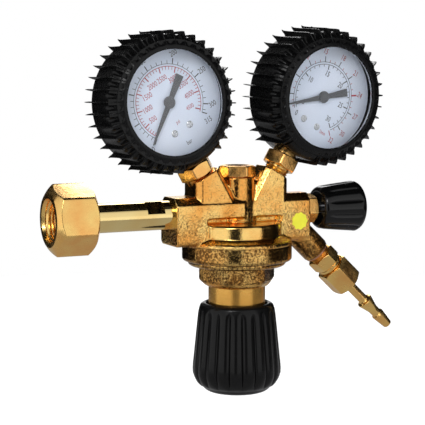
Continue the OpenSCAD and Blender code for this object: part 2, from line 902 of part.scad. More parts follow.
body();
bonnet();
inlet_stem();
inlet_seal();
inlet_filter();
nut_thrust_ring();
inlet_nut();
valve_nozzle();
valve_poppet();
valve_seat_insert();
valve_spring();
diaphragm();
diaphragm_slip_ring();
diaphragm_plate();
diaphragm_nut();
adjusting_spring();
spring_button();
adjusting_spindle();
adjusting_knob();
knob_cap();
knob_screw();
relief_housing();
relief_poppet();
relief_spring();
flow_orifice();
outlet_adapter();
outlet_seal();
union_nut();
hose_tail();
gland_nut();
gland_packing();
shutoff_disc();
shutoff_spindle();
shutoff_knob();
shutoff_screw();
round_sticker();
gauge_seals();
dial_screws();
left_socket();
left_case();
left_bezel();
left_lens();
left_dial();
left_tube();
left_movement();
left_sector();
left_pinion();
left_pointer();
left_boot();
right_socket();
right_case();
right_bezel();
right_lens();
right_dial();
right_tube();
right_movement();
right_sector();
right_pinion();
right_pointer();
right_boot();
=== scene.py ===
"""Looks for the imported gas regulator: a forged brass body with turned brass fittings, two dial
gauges in finned rubber boots, black knobs, and a plain studio around them.

Shapes are in millimetres in a local frame whose Z is the axis they are turned about.
"""
import json
import math

import bmesh
import bpy
from mathutils import Matrix, Vector


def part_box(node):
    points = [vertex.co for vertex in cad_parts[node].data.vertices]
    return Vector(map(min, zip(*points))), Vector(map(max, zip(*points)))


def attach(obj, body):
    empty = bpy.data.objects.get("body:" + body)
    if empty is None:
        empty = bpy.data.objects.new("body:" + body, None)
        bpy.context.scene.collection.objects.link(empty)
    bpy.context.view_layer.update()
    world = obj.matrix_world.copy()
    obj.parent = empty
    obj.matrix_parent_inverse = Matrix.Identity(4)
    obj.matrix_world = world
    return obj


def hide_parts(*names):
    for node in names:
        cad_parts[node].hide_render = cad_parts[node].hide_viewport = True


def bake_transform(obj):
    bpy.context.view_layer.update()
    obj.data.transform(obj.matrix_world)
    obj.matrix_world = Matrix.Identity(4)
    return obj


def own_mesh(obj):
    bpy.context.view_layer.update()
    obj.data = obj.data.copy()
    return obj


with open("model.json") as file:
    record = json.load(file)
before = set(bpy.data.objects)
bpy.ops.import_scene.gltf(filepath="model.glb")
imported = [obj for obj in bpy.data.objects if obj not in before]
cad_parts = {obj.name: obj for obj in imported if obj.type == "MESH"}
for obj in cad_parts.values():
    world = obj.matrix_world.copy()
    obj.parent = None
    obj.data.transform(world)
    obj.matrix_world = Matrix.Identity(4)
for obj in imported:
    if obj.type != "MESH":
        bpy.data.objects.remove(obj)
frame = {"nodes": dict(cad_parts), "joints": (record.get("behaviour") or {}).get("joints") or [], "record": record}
MM = 0.001
NODES = frame["nodes"]
JOINTS = {j["name"]: j for j in frame["joints"]}
SLOTS = {s["node"]: s["material_slot"] for s in frame["record"]["subparts"]}
BODY_OF = {n: b for b, names in frame["record"]["behaviour"]["bodies"].items() for n in names}
SIDES = ("left", "right")
TAU = 2 * math.pi
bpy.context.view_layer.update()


# ---------- frames, read from the record's joints ----------

def axes_frame(origin, x, z):
    """A frame at origin (metres) with local X near x and local Z along z."""
    z = Vector(z).normalized()
    y = z.cross(Vector(x)).normalized()
    x = y.cross(z)
    return Matrix.Translation(origin) @ Matrix((x, y, z)).transposed().to_4x4()


KNOB = axes_frame(JOINTS["knob_turn"]["pos_m"], (1, 0, 0), (0, 0, 1))
INLET = axes_frame(JOINTS["nut_turn"]["pos_m"], (0, 0, -1), (1, 0, 0))
VALVE = axes_frame(JOINTS["valve_turn"]["pos_m"], (0, 0, -1), (1, 0, 0))
OUTLET = axes_frame(JOINTS["union_turn"]["pos_m"], (0, 1, 0), JOINTS["union_turn"]["axis"])


def dial_frame(side):
    """X right, Y up the gauge's stem, Z towards the reader, at the dial's centre."""
    turn, sector = JOINTS[side + "_pointer_turn"], JOINTS[side + "_sector_turn"]
    up = Vector(turn["pos_m"]) - Vector(sector["pos_m"])
    normal = -Vector(turn["axis"])
    return axes_frame(turn["pos_m"], up.cross(normal), normal)


def stem_frame(side):
    """Z up the gauge's stem, X towards the reader, at the dial's centre."""
    d = dial_frame(side)
    return axes_frame(d.translation, d.col[2][:3], d.col[1][:3])


# ---------- materials ----------

def fill_ramp(node, stops):
    """Sets a colour ramp's stops, given as (position, colour)."""
    elements = node.color_ramp.elements
    while len(elements) < len(stops):
        elements.new(0.5)
    for element, (at, colour) in zip(elements, stops):
        element.position = at
        element.color = (*colour, 1)


class Nodes:
    """Short calls for building a material out of procedural nodes."""

    def __init__(self, name):
        self.material = bpy.data.materials.new(name)
        self.material.use_nodes = True
        self.tree = self.material.node_tree
        self.shader = self.tree.nodes["Principled BSDF"]
        self.place = self.tree.nodes.new("ShaderNodeTexCoord").outputs["Object"]

    def link(self, out, into):
        self.tree.links.new(out, into)

    def add(self, kind, **values):
        node = self.tree.nodes.new(kind)
        for key, value in values.items():
            node.inputs[key.replace("_", " ")].default_value = value
        return node

    def noise(self, scale, detail=3.0, stretch=None, distortion=0.0):
        node = self.add("ShaderNodeTexNoise", Scale=scale, Detail=detail, Distortion=distortion)
        source = self.place
        if stretch:
            mapping = self.add("ShaderNodeMapping", Scale=stretch)
            self.link(source, mapping.inputs["Vector"])
            source = mapping.outputs["Vector"]
        self.link(source, node.inputs["Vector"])
        return node.outputs["Fac"]

    def ramp(self, fac, stops):
        node = self.tree.nodes.new("ShaderNodeValToRGB")
        fill_ramp(node, stops)
        self.link(fac, node.inputs["Fac"])
        return node.outputs["Color"]

    def stretch(self, value, start, end, low, high):
        """A value that runs from start to end becomes one from low to high, and stays there."""
        node = self.add("ShaderNodeMapRange", From_Min=start, From_Max=end, To_Min=low, To_Max=high)
        self.link(value, node.inputs["Value"])
        return node.outputs["Result"]

    def spread(self, fac, low, high):
        """A noise value stretched to run from low to high."""
        return self.stretch(fac, 0.3, 0.7, low, high)

    def blend(self, fac, under, over):
        """The colour under, covered by the plain colour over as much as fac says."""
        node = self.tree.nodes.new("ShaderNodeMixRGB")
        self.link(fac, node.inputs["Fac"])
        self.link(under, node.inputs["Color1"])
        node.inputs["Color2"].default_value = (*over, 1)
        return node.outputs["Color"]

    def math(self, operation, *values):
        node = self.tree.nodes.new("ShaderNodeMath")
        node.operation = operation
        for value, into in zip(values, node.inputs):
            if isinstance(value, float):
                into.default_value = value
            else:
                self.link(value, into)
        return node.outputs[0]

    def bump(self, height, strength, depth_mm, before=None):
        node = self.add("ShaderNodeBump", Strength=strength, Distance=depth_mm * MM)
        self.link(height, node.inputs["Height"])
        if before:
            self.link(before, node.inputs["Normal"])
        return node.outputs["Normal"]

    def finish(self, colour, rough, normal=None, **values):
        self.link(colour, self.shader.inputs["Base Color"])
        self.link(rough, self.shader.inputs["Roughness"])
        if normal:
            self.link(normal, self.shader.inputs["Normal"])
        for key, value in values.items():
            self.shader.inputs[key.replace("_", " ")].default_value = value
        return self.material


def metal(name, light, dark, rough, grain=None, rings=None, patch=60.0):
    """A metal with drifting colour. grain is (per metre, strength, depth), rings the same along Z."""
    m = Nodes(name)
    colour = m.ramp(m.noise(patch, 4.0), [(0.36, dark), (0.62, light)])
    rough_out = m.spread(m.noise(patch * 3), *rough)
    normal = None
    if grain:
        normal = m.bump(m.noise(grain[0], 2.0), grain[1], grain[2])
    if rings:
        lines = m.noise(rings[0], 2.0, stretch=(0.02, 0.02, 1))
        normal = m.bump(lines, rings[1], rings[2], normal)
    return m.finish(colour, rough_out, normal, Metallic=1.0)


def plain(name, colour, rough, grain=None, shade=0.8, **values):
    """A painted or moulded surface with a faint change of shade and roughness."""
    m = Nodes(name)
    darker = tuple(c * shade for c in colour)
    out = m.ramp(m.noise(90.0), [(0.35, darker), (0.65, colour)])
    normal = m.bump(m.noise(grain[0], 2.0), grain[1], grain[2]) if grain else None
    return m.finish(out, m.spread(m.noise(300.0), *rough), normal, **values)


def forged_brass(axis_x):
    """Brass as forged: coarse wrinkles low down, with painted shade darkening their hollows, a finer grain above,
    a smooth turned ring, and brown speckled stains round the flange and the bonnet's hexagon."""
    ring_r, ring_top, ring_bottom = 24.3 * MM, -4.6 * MM, -14.0 * MM
    stain_top, stain_bottom, stain_edge = -16.3 * MM, -37.0 * MM, 0.6 * MM
    m = Nodes("forged_brass")
    drift = m.ramp(m.noise(60.0, 4.0), [(0.38, (0.86, 0.40, 0.09)), (0.62, (0.97, 0.64, 0.21))])
    split = m.add("ShaderNodeSeparateXYZ")
    m.link(m.place, split.inputs[0])
    x, y, z = (split.outputs[k] for k in "XYZ")
    off = m.math("SUBTRACT", x, axis_x)
    radius = m.math("SQRT", m.math("ADD", m.math("MULTIPLY", off, off), m.math("MULTIPLY", y, y)))
    low = m.stretch(z, 2 * MM, -4 * MM, 0.4, 1.0)
    outside = m.math("MAXIMUM", m.stretch(radius, ring_r - 0.4 * MM, ring_r, 0.12, 1.0),
                     m.math("MAXIMUM", m.stretch(z, ring_top, ring_top + 0.4 * MM, 0.0, 1.0),
                            m.stretch(z, ring_bottom, ring_bottom - 0.4 * MM, 0.0, 1.0)))
    relief = m.noise(520.0, 3.0, distortion=1.4)
    amount = m.math("MULTIPLY", low, outside)
    # Painted shade: the dips of the wrinkle relief are darkened towards dark brown, as shade would fall in them.
    hollow_shade = m.math("MULTIPLY", m.stretch(relief, 0.44, 0.34, 0.0, 0.6), amount)
    colour = m.blend(hollow_shade, drift, (0.16, 0.075, 0.02))
    stained = m.math("MULTIPLY", m.stretch(z, stain_top, stain_top - stain_edge, 0.0, 1.0),
                     m.stretch(z, stain_bottom, stain_bottom + stain_edge, 0.0, 1.0))
    speckle = m.math("MULTIPLY", m.noise(900.0, 4.0), m.spread(m.noise(110.0, 2.0), 0.8, 1.2))
    cloudy = m.math("MULTIPLY", stained, m.stretch(speckle, 0.40, 0.58, 0.25, 0.97))
    colour = m.blend(cloudy, colour, (0.15, 0.065, 0.016))
    calm = m.math("MULTIPLY", amount, m.math("SUBTRACT", 1.0, m.math("MULTIPLY", stained, 0.75)))
    normal = m.bump(m.math("MULTIPLY", relief, calm), 1.0, 0.42)
    normal = m.bump(m.noise(1400.0, 2.0), 0.5, 0.07, normal)
    rough = m.math("ADD", m.spread(m.noise(180.0), 0.08, 0.17), m.math("MULTIPLY", stained, 0.04))
    return m.finish(colour, rough, normal, Metallic=1.0)


def make_materials():
    made = {
        "cast_brass": metal("cast_brass", (0.92, 0.58, 0.19), (0.84, 0.42, 0.10), (0.14, 0.30),
                            grain=(900.0, 0.6, 0.3)),
        "turned_brass": metal("turned_brass", (0.93, 0.64, 0.26), (0.88, 0.52, 0.18), (0.10, 0.22),
                              rings=(2500.0, 0.15, 0.05)),
        "bronze": metal("bronze", (0.55, 0.36, 0.2), (0.42, 0.26, 0.14), (0.35, 0.5)),
        "copper": metal("copper", (0.75, 0.40, 0.25), (0.6, 0.3, 0.18), (0.25, 0.4)),
        "steel": metal("steel", (0.66, 0.67, 0.69), (0.52, 0.53, 0.55), (0.2, 0.34)),
        "black_plastic": plain("black_plastic", (0.004, 0.004, 0.0042), (0.17, 0.25),
                               grain=(1500.0, 0.1, 0.05), Specular_IOR_Level=0.22),
        "gloss_black": plain("gloss_black", (0.003, 0.003, 0.0032), (0.10, 0.18),
                             Specular_IOR_Level=0.35),
        "boot_rubber": plain("boot_rubber", (0.004, 0.004, 0.0043), (0.22, 0.32),
                             grain=(1200.0, 0.05, 0.02), Specular_IOR_Level=0.22),
        "seal": plain("seal", (0.02, 0.02, 0.02), (0.5, 0.65)),
        "ptfe": plain("ptfe", (0.85, 0.84, 0.8), (0.4, 0.5)),
        "black_paint": plain("black_paint", (0.015, 0.015, 0.016), (0.3, 0.4)),
        "dial_face": plain("dial_face", (0.70, 0.76, 0.88), (0.4, 0.5), shade=0.97),
        "pointer_grey": plain("pointer_grey", (0.085, 0.088, 0.095), (0.4, 0.5)),
        "sticker": plain("sticker", (0.90, 0.86, 0.03), (0.35, 0.5)),
    }
    glass = Nodes("lens")
    made["lens"] = glass.finish(glass.ramp(glass.noise(40.0), [(0.3, (0.96, 0.98, 1)), (0.7, (1, 1, 1))]),
                                glass.spread(glass.noise(80.0), 0.0, 0.02),
                                Transmission_Weight=1.0, IOR=1.35)
    return made


MATERIALS = make_materials()
BRASS_NUT = metal("brass_nut", (1.0, 0.67, 0.22), (0.95, 0.50, 0.15), (0.16, 0.30),
                  grain=(420.0, 0.5, 0.14))
BRASS_SATIN = metal("brass_satin", (0.92, 0.52, 0.13), (0.85, 0.45, 0.10), (0.22, 0.32),
                    rings=(3500.0, 0.3, 0.06), patch=25.0)
BRASS_PIPE = metal("brass_pipe", (0.98, 0.76, 0.34), (0.95, 0.68, 0.27), (0.05, 0.12))
FORGED = forged_brass(JOINTS["knob_turn"]["pos_m"][0])
PRINT_BLACK = plain("print_black", (0.012, 0.012, 0.016), (0.5, 0.6))
PRINT_RED = plain("print_red", (0.42, 0.03, 0.05), (0.5, 0.6))


# ---------- building pieces ----------

def add_piece(name, verts, faces, place, material, body, nodes=(), slot=None, sharp=30.0):
    """A mesh given in millimetres in a local frame, riding on a body unless body is None."""
    mesh = bpy.data.meshes.new(name)
    mesh.from_pydata([place @ (Vector(v) * MM) for v in verts], [], faces)
    mesh.validate()
    bm = bmesh.new()
    bm.from_mesh(mesh)
    bmesh.ops.remove_doubles(bm, verts=bm.verts, dist=1e-7)
    bmesh.ops.recalc_face_normals(bm, faces=bm.faces)
    bm.to_mesh(mesh)
    bm.free()
    mesh.polygons.foreach_set("use_smooth", [True] * len(mesh.polygons))
    mesh.set_sharp_from_angle(angle=math.radians(sharp))
    mesh.materials.append(material)
    obj = bpy.data.objects.new(name, mesh)
    bpy.context.collection.objects.link(obj)
    if body:
        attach(obj, body)
    if nodes:
        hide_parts(*nodes)
        slot = slot or SLOTS[nodes[0]]
    return obj


def rounded(points, steps=4):
    """Corners given as (r, z, radius) become short curves; the number of points never changes."""
    out = []
    last = len(points) - 1
    for i, p in enumerate(points):
        if len(p) < 3 or i in (0, last):
            out.append((p[0], p[1]))
            continue
        here = Vector(p[:2])
        before, after = Vector(points[i - 1][:2]) - here, Vector(points[i + 1][:2]) - here
        a = before.normalized() * min(p[2], before.length * 0.45) if before.length else before
        b = after.normalized() * min(p[2], after.length * 0.45) if after.length else after
        for k in range(steps + 1):
            t = k / steps
            q = here + a * (1 - t) ** 2 + b * t ** 2
            out.append((q.x, q.y))
    return out


def lathe(outline, columns=96, closed=False):
    """Vertices and faces of an outline of (radius, height) turned about Z.
    The outline is a list, or a function of the angle that always gives as many points."""
    angles = [TAU * i / columns for i in range(columns)] if isinstance(columns, int) else columns
    rings = [outline(a) if callable(outline) else outline for a in angles]
    n, rows = len(angles), len(rings[0])
    verts = [(r * math.cos(a), r * math.sin(a), z) for a, ring in zip(angles, rings) for r, z in ring]
    spans = rows if closed else rows - 1
    faces = [(i * rows + j, ((i + 1) % n) * rows + j, ((i + 1) % n) * rows + (j + 1) % rows,
              i * rows + (j + 1) % rows) for i in range(n) for j in range(spans)]
    return verts, faces


def turned(name, outline, place, material, body, nodes=(), columns=96, closed=True, **more):
    verts, faces = lathe(outline, columns, closed)
    return add_piece(name, verts, faces, place, material, body, nodes, **more)


def hex_columns(turn):
    """Angles for a hexagonal outline, closer together at its corners."""
    steps = (-28.9, -26, -20, -12, 0, 12, 20, 26, 28.9)
    return [math.radians(turn + 60 * k + t) for k in range(6) for t in steps]


def hex_radius(af, turn, angle):
    """Distance from the axis to a hexagon's side whose flat faces the turn angle."""
    off = (math.degrees(angle) - turn + 30) % 60 - 30
    return af / 2 / math.cos(math.radians(off))


def hex_outline(af, turn, z0, z1, bore, fillet=0.35, slope=0.5, inner=None, mouth=0.25):
    """Outline of a nut with turned corners at both ends and a bore; inner gives the bore's points."""
    face_r = af / 2 - 0.25

    def outline(angle):
        r = hex_radius(af, turn, angle)
        drop = (r - face_r) * slope
        start_r = af / 2 - mouth
        wall = inner(angle) if inner else [(bore, z1), (bore, z0)]
        side = rounded([(start_r - 2, z0), (start_r, z0, 0.3), (r, z0 + (r - start_r) * slope, fillet),
                        (r, z1 - drop, fillet), (face_r, z1, 0.3), (face_r - 2, z1)])
        return side + wall
    return outline


def thread(angle, z0, z1, crest, root, pitch, fade=1.0):
    """Points down a helical thread at one angle, from z0 to z1, fading out at both ends."""
    count = max(8, int(abs(z1 - z0) / pitch * 10))
    points = []
    for i in range(count + 1):
        z = z0 + (z1 - z0) * i / count
        phase = (z / pitch - angle / TAU) % 1.0
        wave = 1 - abs(2 * phase - 1)
        ends = min(1.0, i / count / (0.12 * fade) if i else 0, (1 - i / count) / (0.12 * fade))
        points.append((root + (crest - root) * (1 - wave * ends) if crest > root
                       else crest + (root - crest) * wave * ends, z))
    return points


def ease(t):
    """A smooth step from 0 to 1."""
    return t * t * (3 - 2 * t)


def merge(*parts):
    """Joins several (vertices, faces) pairs into one."""
    verts, faces = [], []
    for v, f in parts:
        base = len(verts)
        verts += v
        faces += [tuple(i + base for i in face) for face in f]
    return verts, faces


# ---------- body, bonnet and inlet ----------

def soften_body():
    """The forged body: its edges and inner corners are rounded as a forging's are."""
    node = NODES["body"]
    node.data.materials[0] = FORGED
    remesh = node.modifiers.new("Forging", "REMESH")
    remesh.mode, remesh.voxel_size = "VOXEL", 0.4 * MM
    remesh.use_smooth_shade = True
    smooth = node.modifiers.new("Edges", "SMOOTH")
    smooth.factor, smooth.iterations = 0.5, 14


def make_inlet():
    mouth, end, thread_r, bore = -14.5, 7.0, 9.74, 7.8

    def nut_bore(angle):
        return [(bore, end), (bore, 4.6), (10.2, 4.6), (10.2, 0)] + \
            thread(angle, -0.5, mouth + 1.4, thread_r + 0.75, thread_r - 0.35, 1.814) + \
            [(thread_r + 1.3, mouth)]

    turned("inlet_nut_visual", hex_outline(32, 20, mouth, end, bore, 0.45, 0.7, inner=nut_bore, mouth=2.4),
           INLET, BRASS_NUT, "inlet_nut", ["inlet_nut"], columns=nut_columns(20))

    arm_face, flat_start, flat_end, flat_depth, flat_turn = 50.5, 36.0, 45.5, 6.3, 225

    def stem(angle):
        def radius(z, r):
            off = abs((math.degrees(angle) - flat_turn + 90) % 180 - 90)
            inside = flat_start <= z <= flat_end and off < 60
            return min(r, flat_depth / math.cos(math.radians(off))) if inside else r
        zs = [3.0, 3.01, 20, flat_start - 0.01, flat_start, flat_end, flat_end + 0.01,
              arm_face - 0.6, arm_face + 1]
        outer = [(9.3, 0.8), (9.3, 3.0)] + [(radius(z, 7.5), z) for z in zs]
        return outer + [(3, arm_face + 1), (3, 0.8)]

    turned("inlet_stem_visual", stem, INLET, BRASS_PIPE, BODY_OF["inlet_stem"], ["inlet_stem"],
           columns=180)


def nut_columns(turn):
    """Hexagon columns with even steps between, so a thread inside stays round."""
    between = [math.radians(turn + 60 * k + t) for k in range(6) for t in (-24, -16, -6, 6, 16, 24)]
    return sorted(set(round(a % TAU, 6) for a in hex_columns(turn) + between))


def make_bonnet():
    turn, af = 18, 36

    def outline(angle):
        r = hex_radius(af, turn, angle)
        outer = [(22.3, -20.4), (22.4, -25.5), (25.9, -25.5, 0.4), (25.9, -27.2, 0.9), (24.4, -28.2, 0.6),
                 (r - 0.2, -28.6, 0.4), (r - 0.1, -36.6 + (r - af / 2) * 0.5, 0.9),
                 (af / 2 - 1.1, -38.6, 0.8), (15.0, -39.2, 0.3), (15.0, -55.6, 0.4), (14.6, -56)]
        inner = [(6.2, -56), (6.2, -50), (11.5, -50), (11.5, -28), (16.5, -28), (16.5, -20.4)]
        return rounded(outer) + inner
    turned("bonnet_visual", outline, KNOB, FORGED, "regulator", ["bonnet"],
           columns=hex_columns(turn))
    neck = rounded([(14.9, -38.8), (15.04, -38.8), (15.04, -55.5, 0.3), (14.9, -55.8)])
    turned("bonnet_neck_visual", neck, KNOB, BRASS_SATIN, "regulator", slot="turned_brass")


def make_relief_cap():
    turned("relief_cap_visual", hex_outline(17, 8, 18.4, 24.5, 4, 0.3,
                                            inner=lambda a: [(4, 22.5), (4, 12.0), (5.9, 12.0), (5.9, 18.4)]),
           KNOB, BRASS_NUT, "regulator", ["relief_housing"], columns=hex_columns(8))


# ---------- knobs ----------

def make_adjusting_knob():
    top, bottom, count = -48.0, -95.2, 20

    def outline(angle):
        def rib(z):
            groove = abs(math.sin(count * angle / 2)) ** 0.55
            into = min(1.0, max(0.0, (top - 3.2 - z) / 3.0)) * min(1.0, max(0.0, (z - bottom - 3.0) / 3.5))
            return 1.35 * (1 - groove) * into
        side = [(16.4, top - 0.5), (17.2, top, 0.5), (19.3, top - 1.0, 1.4), (20.0, top - 3.2, 1.2)]
        rows = [(20.3, top - 4.5), (20.6, top - 6.5), (21.3, top - 13), (22.1, top - 21), (22.8, top - 28),
                (23.35, top - 33), (23.5, top - 35.7), (23.4, top - 37.8), (22.9, top - 39.6),
                (22.2, top - 41.2), (21.3, top - 42.6), (20.2, top - 43.8)]
        rows = [(r - rib(z), z) for r, z in rows]
        end = [(18.6, bottom + 2.6, 0.6), (17.3, bottom + 1.1, 0.8), (15.6, bottom, 1.0), (13.7, bottom, 0.2),
               (13.6, bottom + 1.2), (4, bottom + 1.2), (4, -88)]
        inner = [(6, -88), (6, -66), (16.2, -66), (16.2, top - 3)]
        return rounded(side + rows + end + inner)
    turned("adjusting_knob_visual", outline, KNOB, MATERIALS["black_plastic"],
           BODY_OF["adjusting_knob"], ["adjusting_knob"], columns=400, sharp=40)


def make_shutoff_knob():
    near, far, count = 47.8, 72.8, 10

    def outline(angle):
        def lobe(z):
            wave = abs(math.sin(count * angle / 2)) ** 0.7
            into = min(1.0, max(0.0, (z - near - 1.6) / 3.5)) * min(1.0, max(0.0, (far - 2.0 - z) / 2.0))
            return 1.3 * (1 - wave) * into
        rows = [(11.3, near + 1.6), (11.9, near + 3.4), (12.25, near + 6), (12.7, near + 10),
                (13.1, near + 14), (13.45, near + 18), (13.75, far - 4.4), (13.85, far - 3.2),
                (13.7, far - 2.4)]
        rows = [(r - lobe(z), z) for r, z in rows]
        start = [(8.6, near + 2.5), (8.6, near + 0.3, 0.3), (9.6, near, 0.5), (10.6, near + 0.6, 0.5)]
        end = [(13.4, far - 1.9, 0.3), (12.9, far - 0.8, 0.6), (11.2, far, 0.9), (8.4, far, 0.3),
               (8, far - 0.5), (8, far - 1.5), (3.4, far - 1.5), (3.4, far - 6)]
        return rounded(start + rows + end + [(3, far - 6), (3, near + 2.5)])
    turned("shutoff_knob_visual", outline, VALVE, MATERIALS["gloss_black"],
           BODY_OF["shutoff_knob"], ["shutoff_knob"], columns=300, sharp=40)

    def gland(angle):
        r = hex_radius(14, 15, angle)
        drop = (r - 6.8) * 0.5
        return rounded([(3.05, 30), (6.5, 30), (6.5, 40.0), (r, 40.0), (r, 45.6 - drop, 0.3),
                        (6.8, 45.8, 0.3), (5.4, 46), (3.05, 46)])
    turned("gland_nut_visual", gland, VALVE, BRASS_NUT, "regulator", ["gland_nut"],
           columns=hex_columns(15))


# ---------- outlet ----------

def make_outlet():
    hex_turn, union_turn = 20, 30

    def adapter(angle):
        r = hex_radius(14, hex_turn, angle)
        drop = (r - 6.8) * 0.5
        return [(1.8, 22), (5, 22), (5, 34.9)] + thread(angle, 34.9, 37.2, 6.5, 5.9, 0.9) + rounded(
            [(5.9, 37.3), (6.8, 37.3, 0.2), (r, 37.4 + drop, 0.3), (r, 44.6 - drop, 0.3), (6.8, 44.8, 0.3),
             (7.0, 44.85, 0.2), (7.0, 46.7, 0.4), (6.4, 46.8), (6.4, 55.3), (1.8, 55.3)])
    turned("outlet_adapter_visual", adapter, OUTLET, BRASS_NUT, "regulator", ["outlet_adapter"],
           columns=nut_columns(hex_turn))

    def nut_bore(_angle):
        return [(3.3, 61.8), (3.3, 59.3), (5.8, 59.3), (5.8, 55.6), (6.7, 55.6), (6.7, 47.1)]
    turned("union_nut_visual", hex_outline(16, union_turn, 47.1, 61.8, 6.7, 0.35, inner=nut_bore),
           OUTLET, BRASS_NUT, "union_nut", ["union_nut"], columns=hex_columns(union_turn))

    tail = rounded([(1.6, 55.6), (5.5, 55.6), (5.5, 59), (2.7, 59), (2.7, 76.2, 1.0), (4.4, 77.2, 0.2),
                    (4.45, 77.8, 0.4), (2.75, 84.5, 1.5), (2.75, 88.2, 0.5), (3.5, 88.8, 0.15),
                    (3.5, 89.3, 0.3), (2.5, 98.05, 0.4), (2.0, 98.44, 0.3), (1.6, 98.35)])
    turned("hose_tail_visual", tail, OUTLET, BRASS_NUT, "regulator", ["hose_tail"], columns=64)


# ---------- gauges ----------

FINS = 36
RING_GAP, FIN_GAP = 16, 18


def from_stem(angle):
    """Degrees between an angle round the gauge and its stem, which points straight down."""
    return abs((math.degrees(angle) + 90 + 180) % 360 - 180)


def boot_body(angle):
    """The boot without its fins: a barrel, a notched front ring and a smooth lip round the window."""
    notch = 3.0 * max(0.0, -math.cos(FINS * angle)) ** 0.7 if from_stem(angle) >= RING_GAP else 0
    outer = [(24, -9.2), (24, -10.2), (32.6, -10.2, 0.8), (34.2, -9.2, 1.0), (34.6, 8.5),
             (34.6 - 0.3 * notch, 11.4), (34.4 - notch, 13.2, 0.5), (32.9 - notch, 15.2),
             (30.9 - 0.5 * notch, 16.9), (28.9, 18.2, 0.3), (27.9, 18.5, 0.5), (26.9, 18.5, 0.3),
             (26.6, 18.0, 0.2)]
    return rounded(outer, 2) + [(26.6, 17.02), (31.5, 17.02), (31.5, -9.2)]


def boot_fin(angle):
    """One thin fin, from a backward-curled point over the barrel and down the front ring."""
    stations = [(-11.9, 37.1, 36.8, 0.15), (-11.5, 36.95, 36.2, 0.5), (-10.8, 36.8, 35.6, 0.8),
                (-9.9, 36.6, 34.8, 1), (-9.2, 36.55, 33, 1), (-6, 36.45, 33, 1), (0, 36.4, 33, 1),
                (6, 36.4, 33, 1), (11.5, 36.4, 33, 1),
                (14.2, 36.2, 32, 1), (15.3, 35.0, 31, 1), (16.2, 33.0, 30, 0.95), (17.3, 30.8, 28.8, 0.8),
                (18.1, 29.4, 28.4, 0.5)]
    half = 0.4
    verts = []
    for z, outer, inner, width in stations:
        w = half * width
        for r, x in ((inner, -w), (outer - 0.3, -w * 0.8), (outer, -w * 0.35), (outer, w * 0.35),
                     (outer - 0.3, w * 0.8), (inner, w)):
            verts.append((r * math.cos(angle) - x * math.sin(angle),
                          r * math.sin(angle) + x * math.cos(angle), z))
    n = 6
    faces = [(i * n + j, i * n + (j + 1) % n, (i + 1) * n + (j + 1) % n, (i + 1) * n + j)
             for i in range(len(stations) - 1) for j in range(n)]
    faces += [tuple(range(n))[::-1], tuple(range((len(stations) - 1) * n, len(stations) * n))]
    return verts, faces


def make_boot(side):
    shell = lathe(boot_body, 432, closed=True)
    angles = [TAU * i / FINS for i in range(FINS)]
    fins = [boot_fin(a) for a in angles if from_stem(a) > FIN_GAP]
    verts, faces = merge(shell, *fins)
    node = side + "_boot"
    add_piece(node + "_visual", verts, faces, dial_frame(side), MATERIALS["boot_rubber"],
              BODY_OF[node], [node], sharp=35)


def make_bezel(side):
    node = side + "_bezel"
    ring = rounded([(26.95, 15.5), (26.95, 16.98, 0.2), (31.3, 16.98), (31.3, 15.5)])
    turned(node + "_visual", ring, dial_frame(side), MATERIALS["steel"], BODY_OF[node], [node])


def make_socket(side):
    """The gauge's stem with its hexagon and thread."""
    node = side + "_socket"
    end = (66 if side == "left" else 69) - 11

    def outline(angle):
        r = hex_radius(17, 0, angle)
        drop = (r - 8.2) * 0.5
        return rounded([(1.2, -22), (6.4, -22), (6.4, -35.9), (8.2, -36, 0.3), (r, -36 - drop, 0.35),
                        (r, -43 + drop, 0.35), (8.2, -43, 0.3), (6.1, -43.05)]) + \
            thread(angle, -43.1, -end + 0.5, 6.4, 5.75, 1.337) + [(5.6, -end), (1.2, -end)]
    turned(node + "_visual", outline, stem_frame(side), BRASS_NUT, BODY_OF[node], [node],
           columns=nut_columns(0))


DIAL_LEVEL, DIAL_ROLL, POINTER_REST = 9.26, 0.8, 217.5
TEXT_WIDTH, CAP_HEIGHT = 0.72, 0.7
BAR_PER_PSI = 0.0689476


def dial_point(radius, degrees, z=0.0):
    a = math.radians(degrees)
    return (radius * math.cos(a), radius * math.sin(a), z)


def printed_frame(side):
    """The dial's own frame: both dials sit turned a little in their cases."""
    return dial_frame(side) @ Matrix.Rotation(math.radians(DIAL_ROLL), 4, "Z")


class Print:
    """Thin marks on a dial, gathered by colour."""

    def __init__(self, level):
        self.level = level
        self.parts = {"black": [], "red": []}
        self.words = {"black": [], "red": []}

    def tick(self, colour, degrees, r0, r1, width):
        a = math.radians(degrees)
        side = (-math.sin(a) * width / 2, math.cos(a) * width / 2)
        corners = [(r0, -1), (r1, -1), (r1, 1), (r0, 1)]
        verts = [(r * math.cos(a) + s * side[0], r * math.sin(a) + s * side[1], self.level)
                 for r, s in corners]
        self.parts[colour].append((verts, [(0, 1, 2, 3)]))

    def arc(self, colour, radius, width, start, end):
        steps = 120
        verts = []
        for i in range(steps + 1):
            d = start + (end - start) * i / steps
            verts += [dial_point(r, d, self.level) for r in (radius - width / 2, radius + width / 2)]
        self.parts[colour].append((verts, [(2 * i, 2 * i + 1, 2 * i + 3, 2 * i + 2) for i in range(steps)]))

    def word(self, colour, text, x, y, height):
        self.words[colour].append((text, x, y, height))

    def make(self, side):
        for colour, material in (("black", PRINT_BLACK), ("red", PRINT_RED)):
            parts = self.parts[colour] + [text_mesh(*w, self.level) for w in self.words[colour]]
            verts, faces = merge(*parts)
            add_piece(f"{side}_print_{colour}", verts, faces, printed_frame(side), material,
                      "regulator", slot="dial_face")


